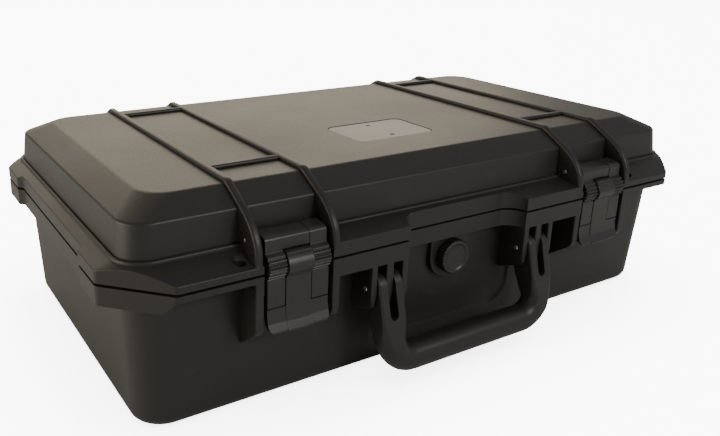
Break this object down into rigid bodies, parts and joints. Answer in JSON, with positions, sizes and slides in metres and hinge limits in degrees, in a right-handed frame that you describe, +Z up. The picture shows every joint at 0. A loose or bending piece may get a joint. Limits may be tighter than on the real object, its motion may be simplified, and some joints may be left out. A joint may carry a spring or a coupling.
{
  "type": "instrument carrying case",
  "caption": "Hard carrying case with a ribbed hinged lid, front draw latches, folding carry handle, pressure valve and foam lining.",
  "frame": {"origin": "middle of the flat underside of the base", "axes": "+X to the right along the length as seen from the latches, -Y towards the latches and handle, +Z up through the lid"},
  "size_m": [0.4896, 0.305, 0.146],
  "materials": {
    "case_plastic": "fine moulded texture, satin",
    "latch_plastic": "smoother satin moulding",
    "plate_plastic": "fine satin",
    "pin_steel": "plain drawn pin",
    "seal_rubber": "dull",
    "foam": "open cell foam"
  },
  "bodies": {
    "base": {"case_base": "case_plastic", "bottom_pad": "foam", "base_foam": "foam", "hinge_pin_left": "pin_steel", "hinge_pin_right": "pin_steel", "handle_pin_left": "pin_steel", "handle_pin_right": "pin_steel", "valve_body": "plate_plastic", "valve_gasket": "seal_rubber", "valve_nut": "plate_plastic", "valve_seal": "seal_rubber"},
    "lid": {"case_lid": "case_plastic", "lid_seal": "seal_rubber", "lid_foam": "foam", "nameplate": "plate_plastic", "nameplate_pin_front": "pin_steel", "nameplate_pin_rear": "pin_steel", "latch_pin_left": "pin_steel", "latch_pin_right": "pin_steel"},
    "link_left": {"latch_link_left": "latch_plastic", "lever_pin_left": "pin_steel"},
    "lever_left": {"latch_lever_left": "latch_plastic"},
    "link_right": {"latch_link_right": "latch_plastic", "lever_pin_right": "pin_steel"},
    "lever_right": {"latch_lever_right": "latch_plastic"},
    "handle": {"handle": "latch_plastic"},
    "vent_knob": {"valve_knob": "latch_plastic"}
  },
  "joints": [
    {"name": "lid_hinge", "type": "hinge", "parent": "base", "child": "lid", "pos_m": [0, 0.1415, 0.0985], "axis": [-1, 0, 0], "range_deg": [0, 95]},
    {"name": "latch_left_link", "type": "hinge", "parent": "lid", "child": "link_left", "pos_m": [-0.1346, -0.1296, 0.1158], "axis": [-1, 0, 0], "range_deg": [0, 95]},
    {"name": "latch_left_lever", "type": "hinge", "parent": "link_left", "child": "lever_left", "pos_m": [-0.1346, -0.141, 0.1008], "axis": [-1, 0, 0], "range_deg": [0, 65]},
    {"name": "latch_right_link", "type": "hinge", "parent": "lid", "child": "link_right", "pos_m": [0.1346, -0.1296, 0.1158], "axis": [-1, 0, 0], "range_deg": [0, 95]},
    {"name": "latch_right_lever", "type": "hinge", "parent": "link_right", "child": "lever_right", "pos_m": [0.1346, -0.141, 0.1008], "axis": [-1, 0, 0], "range_deg": [0, 65]},
    {"name": "handle_hinge", "type": "hinge", "parent": "base", "child": "handle", "pos_m": [0, -0.1374, 0.0689], "axis": [-1, 0, 0], "range_deg": [0, 110]},
    {"name": "vent_turn", "type": "hinge", "parent": "base", "child": "vent_knob", "pos_m": [0, -0.13, 0.071], "axis": [0, -1, 0], "range_deg": [0, 360]}
  ]
}
